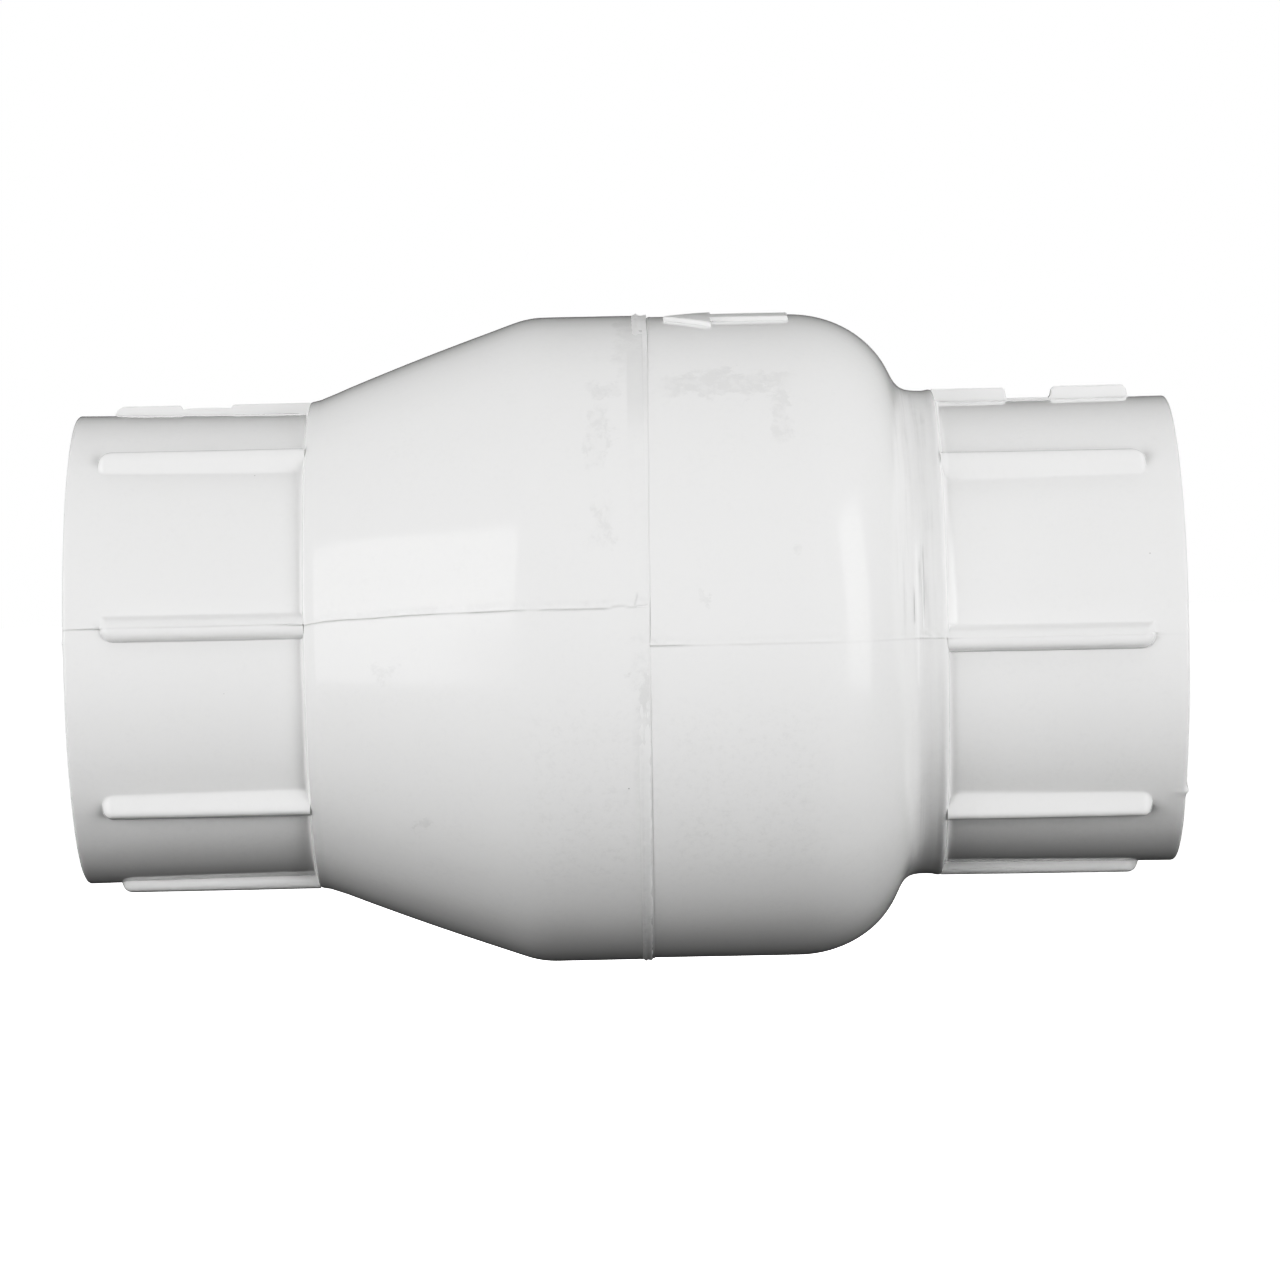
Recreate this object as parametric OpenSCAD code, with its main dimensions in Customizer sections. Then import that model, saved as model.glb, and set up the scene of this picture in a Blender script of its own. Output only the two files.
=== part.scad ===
// Inline swing non-return valve in white moulded PVC, 1 1/2 in pipe size.
// Two moulded shells are spin-welded at a seam round the middle. A hinged
// flapper hangs on a tilted seat inside and opens towards the outlet.
// Frame: X is the pipe axis, the inlet socket points to +X and water flows
// towards -X. Z is up, the hinge side. The origin is on the pipe axis, halfway
// between the two end faces. The -Y side is the front.

/* [Pipe sockets] */
// Bore of each solvent-weld socket, for pipe of 48.26 mm
socket_bore_d = 48.4; // [48.3:0.05:48.6]
// Depth of each socket from its end face to the pipe stop
socket_depth = 30; // [28:0.5:34]
// Outside diameter of the outlet socket
outlet_socket_d = 60.2; // [59:0.2:61]
// Outside diameter of the inlet socket
inlet_socket_d = 59.9; // [59:0.1:61]
// Waterway diameter behind each pipe stop
waterway_d = 42; // [41:0.5:43]
// Rounding of the outer edge of each end face
rim_round = 0.6; // [0.5:0.1:1.2]

/* [Grip ribs] */
// Width of the ribs at the front, back, top and bottom
rib_w = 3.4; // [2.8:0.1:3.8]
// Height of those ribs above the socket
rib_h = 1.5; // [1.2:0.1:1.8]
// Distance of the upright faces of the four corner ribs from the pipe axis
corner_y = 22.2; // [21.8:0.1:22.6]
// Distance of the level faces of the four corner ribs from the pipe axis
corner_z = 23.1; // [22.6:0.1:23.4]
// Distance of the rib tips from the end face
rib_setback = 4; // [3:0.5:6]
// Length of the gap in the uppermost rib
rib_gap_l = 6.1; // [4:0.1:8]

/* [Body] */
// Largest diameter of the body
body_d = 83; // [82.6:0.1:84]
// Position of the welded seam along the pipe axis
seam_x = 2.8; // [1:0.2:4]
// Angle by which the outlet shell was left turned against the inlet shell when the two were welded
shell_twist = 6.3; // [0:0.1:12]
// Height of the weld flash above the body
flash_h = 0.3; // [0.2:0.05:0.4]
// Height of the raised flow arrow
arrow_h = 0.7; // [0.4:0.1:0.9]

/* [Seat and flapper] */
// Bore of the seat
seat_bore_d = 40; // [38:0.5:40.4]
// Lean of the seat face, which lets the flapper close by its own weight
seat_tilt = 8; // [6:0.5:8.5]
// Diameter of the flapper disc
flapper_d = 48; // [47:0.2:48.4]
// Diameter of the hinge pin
pin_d = 4; // [3.6:0.1:4.4]
// Radial running clearance of the bushes on the pin
pin_gap = 0.06; // [0.03:0.01:0.1]
// Opening angle at which the heel of the arm meets the seat ring
open_angle = 70; // [60:1:70]

/* [Hidden] */
$fn = 96;

// Core of the body: the pipe stops lie at x = -core and x = +core
core = 40;
end_x = core + socket_depth;
bore_r = socket_bore_d / 2;
way_r = waterway_d / 2;
out_r = outlet_socket_d / 2;
in_r = inlet_socket_d / 2;
body_r = body_d / 2;
inlet_body_r = body_r - 0.2;
chamber_r = 37;
// Lap joint inside the seam
lap_r = 39.1;
lap_gap = 0.1;
lap_x = seam_x + 6;

// Cartridge pocket in the inlet shell
pocket_r = 34;
pocket_x = 30.5;
groove_r = 36;
groove_x0 = 24.1;
groove_x1 = 25.9;

// Seat frame: seat centre on the pipe axis, leaning back at the top
seat_x = 20;
lip_in_r = seat_bore_d / 2 + 0.6;
lip_out_r = lip_in_r + 2.4;
lip_h = 1.2;
seal_gap = 0.15;

// Hinge axis in the seat frame
hinge_u = -6.2;
hinge_w = 29.3;
pin_r = pin_d / 2;
bush_r = 3;
barrel_r = 4.2;
ear_r = 4.2;
ear_in = 6.8;
ear_out = 9.8;
barrel_half = 6;

// Stack of the flapper along the seat axis, from the seat towards the outlet
u_seal = -lip_h - seal_gap;
u_disc = u_seal - 2.5;
u_arm = u_disc - 3.2;
u_arm_back = hinge_u - barrel_r;
u_washer = u_arm_back - 0.8;
u_nut = u_washer - 4;
u_bolt_end = u_nut - 0.7;
u_plate = u_seal + 1.5;
u_bolt_seal = u_plate + 0.8;
u_head = u_bolt_seal + 3.5;
disc_r = flapper_d / 2;
bolt_r = 2.5;
hole_r = 2.55;

// Points of an arc, from angle a0 to a1 in n steps
function arc(cx, cy, r, a0, a1, n) =
    [for (i = [0:n]) let (a = a0 + (a1 - a0) * i / n) [cx + r * cos(a), cy + r * sin(a)]];

// Solid of revolution about the pipe axis, from [x, radius] points
module spin(points) {
    rotate([0, 90, 0]) rotate_extrude() polygon([for (p = points) [p[1], p[0]]]);
}

// Ring about the pipe axis from x0 to x1
module ring_x(x0, x1, r_in, r_out) {
    spin([[x0, r_in], [x1, r_in], [x1, r_out], [x0, r_out]]);
}

// Cylinder about the X axis from x0 to x1
module bar_x(x0, x1, r) {
    translate([x0, 0, 0]) rotate([0, 90, 0]) cylinder(h = x1 - x0, r = r);
}

// Cylinder about the Y axis from y0 to y1
module bar_y(y0, y1, r) {
    translate([0, y0, 0]) rotate([-90, 0, 0]) cylinder(h = y1 - y0, r = r);
}

// Places its children in the seat frame
module at_seat() {
    translate([seat_x, 0, 0]) rotate([0, seat_tilt, 0]) children();
}

// Places its children on the hinge axis, within the seat frame
module at_hinge() {
    at_seat() translate([hinge_u, 0, hinge_w]) children();
}

// Plan of one rib in X and Z, running from the body to a round tip at tip_x
module rib_plan(tip_x, w) {
    translate([core - 2, -w / 2]) square([tip_x - w / 2 - core + 2, w]);
    translate([tip_x - w / 2, 0]) circle(d = w, $fn = 32);
}

// One rib on the front side of a socket that points to +X
module rib(top_r, gap_floor_r) {
    difference() {
        rotate([90, 0, 0]) {
            translate([0, 0, 27.5]) linear_extrude(top_r - 0.45 - 27.5) rib_plan(end_x - rib_setback, rib_w);
            translate([0, 0, 27.5]) linear_extrude(top_r - 27.5) rib_plan(end_x - rib_setback - 0.4, rib_w - 0.8);
        }
        if (gap_floor_r > 0)
            translate([49.4, -40, -5]) cube([rib_gap_l, 40 - gap_floor_r, 10]);
    }
}

// Corner rib between two of the others: its faces are upright and level, so that the mould opens along Z
module corner_rib() {
    tip_x = end_x - rib_setback;
    rotate([90, 0, 0]) translate([0, 0, 17]) linear_extrude(corner_y - 17) {
        translate([core - 2, 17]) square([tip_x - core + 2, corner_z - 1.6 - 17]);
        translate([core - 2, 17]) square([tip_x - 1.6 - core + 2, corner_z - 17]);
        translate([tip_x - 1.6, corner_z - 1.6]) circle(r = 1.6, $fn = 32);
    }
}

// All eight ribs of one socket, the rib at the top has a gap
module ribs(top_r, gap_floor_r) {
    for (i = [0:3])
        rotate([-90 - i * 90, 0, 0])
            rib(top_r, i == 0 ? gap_floor_r : 0);
    for (y = [0, 1], z = [0, 1])
        mirror([0, y, 0]) mirror([0, 0, z]) corner_rib();
}

// Outlet half: socket, long cone and belly, with the spigot of the lap joint
module outlet_shell() color("whitesmoke") rotate([-shell_twist, 0, 0]) {
    spin(concat(
        [[-end_x, bore_r + 0.8]],
        arc(-end_x + rim_round, out_r - rim_round, rim_round, 180, 90, 5),
        [[-core - 0.3, out_r - 0.3], [-core + 0.5, 31.3], [-core + 2.2, 31.9], [-core + 3.5, 32.4]],
        [[-35, 33.0]],
        arc(-10.0, body_r - 11.6, 11.6, 111, 90, 5),
        [[seam_x, body_r], [seam_x, lap_r], [lap_x - 0.2, lap_r], [lap_x - 0.2, chamber_r]],
        [[-9.5, chamber_r], [-11.5, chamber_r - 0.35], [-14.5, chamber_r - 1.4]],
        [[-35, 28.2], [-36.6, 25.5], [-37.2, way_r + 0.6], [-37.2, way_r]],
        [[-core, way_r], [-core, bore_r], [-end_x + 0.8, bore_r]]
    ));
    mirror([1, 0, 0]) ribs(out_r + rib_h - 0.2, out_r + rib_h - 0.8);
}

// Plan of the raised arrow in X and Z, pointing to -X along the flow
module arrow_plan() {
    polygon([[5.2, 0], [11.6, 4.6], [11.6, 1.7], [21.4, 1.7], [21.4, -1.7], [11.6, -1.7], [11.6, -4.6]]);
}

// Inlet half: belly, round shoulder, collar and socket, with the pocket for the seat
module inlet_shell() color("white") {
    spin(concat(
        [[seam_x, inlet_body_r]],
        arc(23.2, inlet_body_r - 11.4, 11.4, 90, 22, 9),
        arc(37.0, 33.4, 2.1, 200, 270, 4),
        [[core, 31.3], [core + 0.4, in_r - 0.2]],
        arc(end_x - rim_round, in_r - rim_round, rim_round, 90, 0, 5),
        [[end_x, bore_r + 0.8], [end_x - 0.8, bore_r], [core, bore_r], [core, way_r]],
        [[37.2, way_r], [37.2, way_r + 0.6], [36.2, 25.2], [33.6, 28.4], [pocket_x, 30]],
        [[pocket_x, pocket_r], [groove_x1, pocket_r], [groove_x1, groove_r], [groove_x0, groove_r], [groove_x0, pocket_r]],
        [[23, pocket_r], [21.5, chamber_r], [lap_x, chamber_r], [lap_x, lap_r + lap_gap], [seam_x, lap_r + lap_gap]]
    ));
    ribs(in_r + rib_h - 0.1, in_r);
    rotate([-80, 0, 0]) intersection() {
        rotate([90, 0, 0]) translate([0, 0, 39.6]) linear_extrude(4) arrow_plan();
        bar_x(0, 30, inlet_body_r + arrow_h);
    }
}

// Bead of molten plastic squeezed out of the seam when the shells were spun together
module weld_flash() color("ivory")
    spin([[seam_x - 1.7, body_r], [seam_x - 1.3, body_r + flash_h * 0.8], [seam_x - 0.3, body_r + flash_h],
        [seam_x + 0.2, body_r + flash_h * 0.5], [seam_x + 0.3, inlet_body_r], [seam_x, inlet_body_r], [seam_x, body_r]]);

// Seat ring: flange held in the pocket, leaning seat face with a raised lip, and the hinge bracket
module seat_ring() color("gainsboro") difference() {
    union() {
        ring_x(groove_x1, pocket_x, 24, pocket_r - 0.1);
        intersection() {
            union() {
                bar_x(8, pocket_x - 0.5, 29.5);
                translate([16, -ear_out, 20]) cube([11, 2 * ear_out, 12.4]);
            }
            at_seat() translate([0, -60, -60]) cube(120);
        }
        at_seat() bar_x(-lip_h, 0.6, lip_out_r);
        for (y = [-ear_out, ear_in]) {
            at_hinge() bar_y(y, y + ear_out - ear_in, ear_r);
            at_seat() translate([0, y + ear_out - ear_in, 0]) rotate([90, 0, 0]) linear_extrude(ear_out - ear_in)
                polygon([[1.2, hinge_w - ear_r - 1.5], [hinge_u, hinge_w - ear_r], [hinge_u, hinge_w + ear_r], [1.2, hinge_w + 1.6]]);
        }
    }
    bar_x(0, 40, seat_bore_d / 2);
    at_seat() bar_x(-4, 0.8, lip_in_r);
    spin([[25, 0], [25, seat_bore_d / 2], [26.2, seat_bore_d / 2 + 0.7], [pocket_x + 0.1, 27.3], [pocket_x + 0.1, 0]]);
    ring_x(27, 29.2, 31.95, 36);
    at_hinge() bar_y(-20, 20, pin_r + 0.02);
}

// O-ring that seals the seat ring in its pocket
module seat_o_ring() color("dimgray")
    translate([28.1, 0, 0]) rotate([0, 90, 0]) rotate_extrude() translate([32.97, 0]) circle(r = 0.98, $fn = 32);

// Snap ring that holds the seat ring, open at the top where the hinge bracket passes
module retaining_ring() color("silver") difference() {
    union() {
        ring_x(groove_x0 + 0.1, groove_x1 - 0.1, 32.3, groove_r - 0.15);
        for (s = [-1, 1]) rotate([s * 28.5, 0, 0]) translate([0, 0, 32.6]) bar_x(groove_x0 + 0.1, groove_x1 - 0.1, 2.4);
    }
    rotate([90, 0, 90]) linear_extrude(60)
        polygon([[0, 0], [60 * sin(24), 60 * cos(24)], [0, 90], [-60 * sin(24), 60 * cos(24)]]);
    for (s = [-1, 1]) rotate([s * 28.5, 0, 0]) translate([0, 0, 32.4]) bar_x(20, 30, 0.9);
}

// Hinge pin, fixed in the two ears, with a groove for a clip near each end
module hinge_pin() color("silver") at_hinge() difference() {
    union() {
        bar_y(-11.6, 11.6, pin_r);
        bar_y(-12, 12, pin_r - 0.4);
    }
    for (y = [-10.7, 9.9]) translate([0, y, 0]) rotate([-90, 0, 0]) difference() {
        cylinder(h = 0.8, r = pin_r + 1);
        translate([0, 0, -1]) cylinder(h = 3, r = pin_r - 0.5);
    }
}

// E-clip in a pin groove, from y0 to y0 + 0.6, open towards the outlet
module pin_clip(y0) color("silver") at_hinge() difference() {
    union() {
        difference() {
            bar_y(y0, y0 + 0.6, 3.9);
            bar_y(y0 - 1, y0 + 2, 2.9);
        }
        for (a = [0, 120, 240]) rotate([0, a, 0]) translate([pin_r - 0.6, y0, -0.7]) cube([3.5 - pin_r + 0.6, 0.6, 1.4]);
    }
    bar_y(y0 - 1, y0 + 2, pin_r - 0.48);
    translate([-6, y0 - 1, -1.6]) cube([5, 3, 3.2]);
}
module pin_clip_front() pin_clip(-10.6);
module pin_clip_back() pin_clip(10.0);

// Thin washers between the arm and the ears
module thrust_washer(y0) color("lightgray") at_hinge() difference() {
    bar_y(y0, y0 + 0.45, 3.8);
    bar_y(y0 - 1, y0 + 2, pin_r + 0.03);
}
module thrust_washer_front() thrust_washer(-6.65);
module thrust_washer_back() thrust_washer(6.2);

// Arm: barrel on the hinge, plate and centre boss on the disc, and the heel that stops the opening
module flapper_arm() color("lightgray") difference() {
    union() {
        at_hinge() bar_y(-barrel_half, barrel_half, barrel_r);
        at_seat() {
            translate([u_arm_back, -5, 0]) cube([u_arm - u_arm_back, 10, hinge_w]);
            bar_x(u_arm_back, u_arm, 8.5);
            translate([u_arm_back - 1.5, -1.2, 7]) cube([2, 2.4, 17]);
        }
        // the heel has a flat stop face behind its middle and a round nose ahead of it
        at_hinge() rotate([0, 90 - open_angle, 0]) intersection() {
            translate([-1.9, -3, 0]) cube([3.8, 6, -hinge_u - seal_gap]);
            union() {
                translate([-10, -5, 0]) cube([10, 10, 10]);
                bar_y(-5, 5, -hinge_u - seal_gap);
            }
        }
    }
    at_hinge() bar_y(-10, 10, bush_r);
    at_seat() bar_x(-30, 10, hole_r);
}

// Bushes pressed into the barrel from each side
module arm_bush(y0) color("khaki") at_hinge() difference() {
    bar_y(y0, y0 + 4.9, bush_r);
    bar_y(y0 - 1, y0 + 7, pin_r + pin_gap);
}
module arm_bush_front() arm_bush(-barrel_half);
module arm_bush_back() arm_bush(barrel_half - 4.9);

// Disc with a stiffened back: rim and radial ribs, open where the arm lies
module flapper_disc() color("white") at_seat() difference() {
    union() {
        spin([[u_arm, 0], [u_disc, 0], [u_disc, disc_r - 0.4], [u_disc - 0.4, disc_r], [u_arm, disc_r]]);
        ring_x(u_arm - 1.2, u_arm + 0.5, disc_r - 1.8, disc_r);
        for (a = [45:45:315]) rotate([a, 0, 0]) translate([u_arm - 1.2, -0.7, 9.2]) cube([1.7, 1.4, disc_r - 10.2]);
    }
    translate([u_arm - 5, -5.3, 10]) cube([5, 10.6, 20]);
    bar_x(-30, 10, hole_r);
}

// Rubber facing that closes on the lip of the seat
module flapper_seal() color("dimgray") at_seat()
    spin([[u_disc, hole_r], [u_seal, hole_r], [u_seal, disc_r - 0.8], [u_seal - 0.4, disc_r - 0.4], [u_disc, disc_r - 0.4]]);

// Stainless plate that clamps the seal and gives the flapper its closing weight
module seal_plate() color("silver") at_seat()
    spin([[u_seal, hole_r], [u_plate, hole_r], [u_plate, 14.6], [u_plate - 0.4, 15], [u_seal, 15]]);

// Hexagon bolt through the flapper
module flapper_bolt() color("silver") at_seat() {
    difference() {
        translate([u_bolt_seal, 0, 0]) rotate([0, 90, 0]) cylinder(h = u_head - u_bolt_seal, r = 4.62, $fn = 6);
        spin([[u_head - 0.5, 4.9], [u_head + 0.1, 4.0], [u_head + 0.1, 6], [u_head - 0.5, 6]]);
    }
    bar_x(u_bolt_end + 0.4, u_bolt_seal + 0.5, bolt_r);
    bar_x(u_bolt_end, u_bolt_end + 1, bolt_r - 0.4);
}

// Rubber washer under the bolt head
module bolt_seal() color("dimgray") at_seat() ring_x(u_plate, u_bolt_seal, hole_r, 5.6);

// Plain washer under the nut
module flapper_washer() color("silver") at_seat() ring_x(u_washer, u_arm_back, hole_r, 5.5);

// Hexagon nut
module flapper_nut() color("silver") at_seat() difference() {
    translate([u_nut, 0, 0]) rotate([0, 90, 0]) cylinder(h = u_washer - u_nut, r = 4.62, $fn = 6);
    bar_x(u_nut - 1, u_washer + 1, bolt_r + 0.02);
    spin([[u_nut - 0.1, 4.0], [u_nut + 0.5, 4.9], [u_nut + 0.5, 6], [u_nut - 0.1, 6]]);
}

outlet_shell();
inlet_shell();
weld_flash();
seat_ring();
seat_o_ring();
retaining_ring();
hinge_pin();
pin_clip_front();
pin_clip_back();
thrust_washer_front();
thrust_washer_back();
flapper_arm();
arm_bush_front();
arm_bush_back();
flapper_disc();
flapper_seal();
seal_plate();
flapper_bolt();
bolt_seal();
flapper_washer();
flapper_nut();
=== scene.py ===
import math

import bmesh
import bpy
import numpy as np
from mathutils import Matrix, Vector


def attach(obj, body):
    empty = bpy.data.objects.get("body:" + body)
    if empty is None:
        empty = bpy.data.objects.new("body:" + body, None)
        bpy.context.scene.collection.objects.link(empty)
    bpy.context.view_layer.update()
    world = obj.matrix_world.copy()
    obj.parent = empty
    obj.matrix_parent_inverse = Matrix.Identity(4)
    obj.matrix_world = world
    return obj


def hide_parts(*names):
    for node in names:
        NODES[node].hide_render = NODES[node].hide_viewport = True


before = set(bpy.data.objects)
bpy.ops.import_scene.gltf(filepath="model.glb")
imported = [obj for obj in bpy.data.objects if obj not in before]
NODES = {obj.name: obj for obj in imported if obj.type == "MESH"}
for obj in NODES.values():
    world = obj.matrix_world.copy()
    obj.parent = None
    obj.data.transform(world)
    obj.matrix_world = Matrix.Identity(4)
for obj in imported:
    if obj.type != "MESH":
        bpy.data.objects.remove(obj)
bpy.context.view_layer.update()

MM = 0.001


# ---------------------------------------------------------------- small maths
def smooth(a, b, x):
    """0 before a, 1 after b, and an S curve between them."""
    t = np.clip((np.asarray(x, float) - a) / (b - a), 0, 1)
    return t * t * (3 - 2 * t)


def bell(x, width):
    return np.exp(-((x / width) ** 2))


def smax(a, b, k):
    """The larger of a and b, with the crease between them filled to about k/4."""
    h = np.clip(k - np.abs(a - b), 0, None) / k
    return np.maximum(a, b) + h * h * k / 4


def spline(xk, yk, x):
    """Curve through the points (xk, yk) that doesn't overshoot, read at x."""
    xk, yk = np.asarray(xk, float), np.asarray(yk, float)
    h = np.diff(xk)
    d = np.diff(yk) / h
    m = np.zeros(len(xk))
    same = d[:-1] * d[1:] > 0
    w1, w2 = 2 * h[1:] + h[:-1], h[1:] + 2 * h[:-1]
    with np.errstate(divide="ignore", invalid="ignore"):
        mean = (w1 + w2) / (w1 / d[:-1] + w2 / d[1:])
    m[1:-1] = np.where(same, mean, 0)
    m[0], m[-1] = d[0], d[-1]
    x = np.clip(x, xk[0], xk[-1])
    i = np.clip(np.searchsorted(xk, x, side="right") - 1, 0, len(h) - 1)
    t = (x - xk[i]) / h[i]
    return ((1 + 2 * t) * (1 - t) ** 2 * yk[i] + t * (1 - t) ** 2 * h[i] * m[i]
            + t * t * (3 - 2 * t) * yk[i + 1] + t * t * (t - 1) * h[i] * m[i + 1])


LATTICE = np.random.RandomState(41).uniform(-1, 1, (32, 32, 32))


def noise(p):
    """Smooth random field from -1 to 1, one lump per unit."""
    p = np.asarray(p, float)
    i = np.floor(p).astype(int)
    f = p - i
    f = f * f * (3 - 2 * f)
    out = np.zeros(p.shape[:-1])
    for a in (0, 1):
        for b in (0, 1):
            for c in (0, 1):
                w = ((f[..., 0] if a else 1 - f[..., 0]) * (f[..., 1] if b else 1 - f[..., 1])
                     * (f[..., 2] if c else 1 - f[..., 2]))
                out += w * LATTICE[(i[..., 0] + a) & 31, (i[..., 1] + b) & 31, (i[..., 2] + c) & 31]
    return out


def line_noise(x, seed):
    """The same field along a line."""
    x = np.asarray(x, float)
    return noise(np.stack([x, np.full_like(x, seed + 0.37), np.full_like(x, 2.1 * seed + 0.61)], -1))


def wrap(a):
    return (a + math.pi) % (2 * math.pi) - math.pi


# ---------------------------------------------------------------- meshes
def closed_grid(name, points, attributes=None, sharp=48):
    """Ring-shaped mesh from points[i, j], closed in both directions, in metres."""
    nu, nv = points.shape[:2]
    idx = np.arange(nu * nv).reshape(nu, nv)
    quads = np.stack([idx, np.roll(idx, -1, 0), np.roll(np.roll(idx, -1, 0), -1, 1), np.roll(idx, -1, 1)], -1).reshape(-1, 4)
    co = points.reshape(-1, 3)
    a, b, c, d = (co[quads[:, k]] for k in range(4))
    volume = (np.einsum("ij,ij->i", a, np.cross(b, c)) + np.einsum("ij,ij->i", a, np.cross(c, d))).sum()
    if volume < 0:
        quads = quads[:, ::-1]
    mesh = bpy.data.meshes.new(name)
    mesh.vertices.add(len(co))
    mesh.vertices.foreach_set("co", co.astype(np.float32).ravel())
    mesh.loops.add(len(quads) * 4)
    mesh.loops.foreach_set("vertex_index", quads.astype(np.int32).ravel())
    mesh.polygons.add(len(quads))
    mesh.polygons.foreach_set("loop_start", np.arange(0, len(quads) * 4, 4, dtype=np.int32))
    mesh.update(calc_edges=True)
    for key, values in (attributes or {}).items():
        layer = mesh.attributes.new(key, "FLOAT", "POINT")
        layer.data.foreach_set("value", np.asarray(values, np.float32).ravel())
    mesh.polygons.foreach_set("use_smooth", np.ones(len(quads), bool))
    mesh.set_sharp_from_angle(angle=math.radians(sharp))
    obj = bpy.data.objects.new(name, mesh)
    bpy.context.scene.collection.objects.link(obj)
    return obj


def steps(*parts):
    """Positions along a line: steps(start, (end, spacing), ...)."""
    out = [np.array([parts[0]], float)]
    at = parts[0]
    for end, gap in parts[1:]:
        n = max(1, int(round(abs(end - at) / gap)))
        out.append(np.linspace(at, end, n + 1)[1:])
        at = end
    return np.concatenate(out)


# ---------------------------------------------------------------- the two shells
TWIST = math.radians(-6.3)       # the outlet shell was left turned by this much in the weld
SEAM = 2.8
RIB_W = 3.4


def angle_lines():
    """Angles of the mesh lines round a shell: close together on the ribs and at the parting lines."""
    at = []
    side = [0.28, 0.55, 0.8, 1.0, 1.16, 1.3, 1.42, 1.52, 1.6, 1.66, 1.7, 1.74, 1.8, 1.9, 2.15, 2.7]
    for k in range(4):
        at += [k * 90 + sgn * math.degrees(math.asin(s / 30.2)) for s in side for sgn in (-1, 1)] + [k * 90]
    for k in (0, 180):
        at += [k + sgn * math.degrees(s / 30.2) for s in (0.07, 0.14, 0.21, 0.38) for sgn in (-1, 1)]
    corner = [40.6, 41.4, 41.8, 42.05, 42.3, 42.6, 43.1, 43.8, 44.4, 44.9, 45.3, 45.65, 46.0, 46.35, 46.7,
              47.1, 47.6, 48.3, 49.0, 49.5, 49.85, 50.1, 50.35, 50.6, 51.0, 52.0]
    for a in corner:
        at += [a, 180 - a, 180 + a, 360 - a]
    at = sorted(set(round(a % 360, 4) for a in at))
    full = []
    for a, b in zip(at, at[1:] + [at[0] + 360]):
        n = max(1, int(math.ceil((b - a) / 3.6)))
        full += [a + (b - a) * k / n for k in range(n)]
    return np.radians(np.array(full))


def rib_side(d, height, edge=1.2, foot=0.14):
    """Height of a rib at the distance d inside its outline: a steep foot and a rounded shoulder."""
    edge = np.minimum(edge, height)
    t = np.clip(d / edge, 0, 1)
    crown = height - edge * (1 - np.sqrt(1 - (1 - t) ** 2))
    wall = height - edge
    return np.where(d > 0, np.maximum(crown, wall), wall * smooth(-foot, 0.0, d) ** 1.6)


def pill(s, a, lo, hi, height, width=RIB_W, corner=None, edge=1.2):
    """Rib from a = lo to a = hi, with round ends in plan."""
    c = width / 2 if corner is None else corner
    dx = np.maximum(0, np.maximum(lo + c - a, a - hi + c))
    dy = np.maximum(0, np.abs(s) - width / 2 + c)
    inside = np.minimum(np.minimum(a - lo, hi - a), width / 2 - np.abs(s))
    round_part = c - np.hypot(dx, dy)
    d = np.where((dx > 0) & (dy > 0), round_part, np.minimum(inside, np.inf))
    d = np.where((dx > 0) | (dy > 0), np.minimum(round_part, inside), inside)
    return rib_side(d, height, edge)


def block(s, a, lo, hi, height, width, lean, end_edge):
    """Rib with flat sides that lean inwards, its ends rounded."""
    side = -smax(-(width / 2 + 0.14 - np.abs(s)) / lean, -height, 0.10)
    return np.minimum(side, rib_side(np.minimum(a - lo, hi - a), height, end_edge))


def corner_rib(th, ax, base, tip, cy=22.2, cz=23.1, rho=0.95):
    """Radius of the four ribs between the others: one upright and one level face, rounded where they meet,
    and a round tip. The two lower ribs are the rounder ones."""
    c, s = np.abs(np.cos(th)), np.abs(np.sin(th))
    low = smooth(0.1, -0.1, np.sin(th))

    def inset(length, depth):
        over = np.clip(ax - (tip - length), 0, length) / length
        return depth * (1 - np.sqrt(1 - over * over))

    cy, cz = cy - inset(0.95 + 0.5 * low, 1.1 + 0.2 * low), cz - inset(1.9 - 0.6 * low, 1.5 - 0.2 * low)
    t = np.minimum(cy / np.maximum(c, 1e-6), cz / np.maximum(s, 1e-6))
    oy, oz = cy - rho, cz - rho
    b = oy * c + oz * s
    disc = np.clip(b * b - (oy * oy + oz * oz - rho * rho), 0, None)
    t = np.where((t * c > oy) & (t * s > oz), b + np.sqrt(disc), t)
    return np.where(ax <= tip, t, 0.0) - 10.0 * (ax > tip)


def weld_line(th):
    """Place along X of the thin crack at the right-hand edge of the weld, which runs slightly askew."""
    return 2.98 + 0.40 * np.sin(th) + 0.07 * line_noise(th * 3.2, 12) + 0.035 * line_noise(th * 14, 13)


def crack_strength(th):
    """How open the crack is round the seam, and how far the bead beside it stands out."""
    sin = np.sin(th)
    near = smooth(-0.02, 0.03, sin) * smooth(0.26, 0.12, sin)       # just above the parting lines
    high = smooth(0.92, 0.98, sin)
    low = smooth(-0.02, -0.10, sin)
    uneven = np.clip(0.8 + 0.7 * line_noise(th * 5.5, 52) + 0.5 * line_noise(th * 19, 53), 0.1, 1.6)
    return uneven * (0.22 + 0.7 * near + 0.06 * low + 0.5 * high), near + 0.70 * low + high


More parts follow.
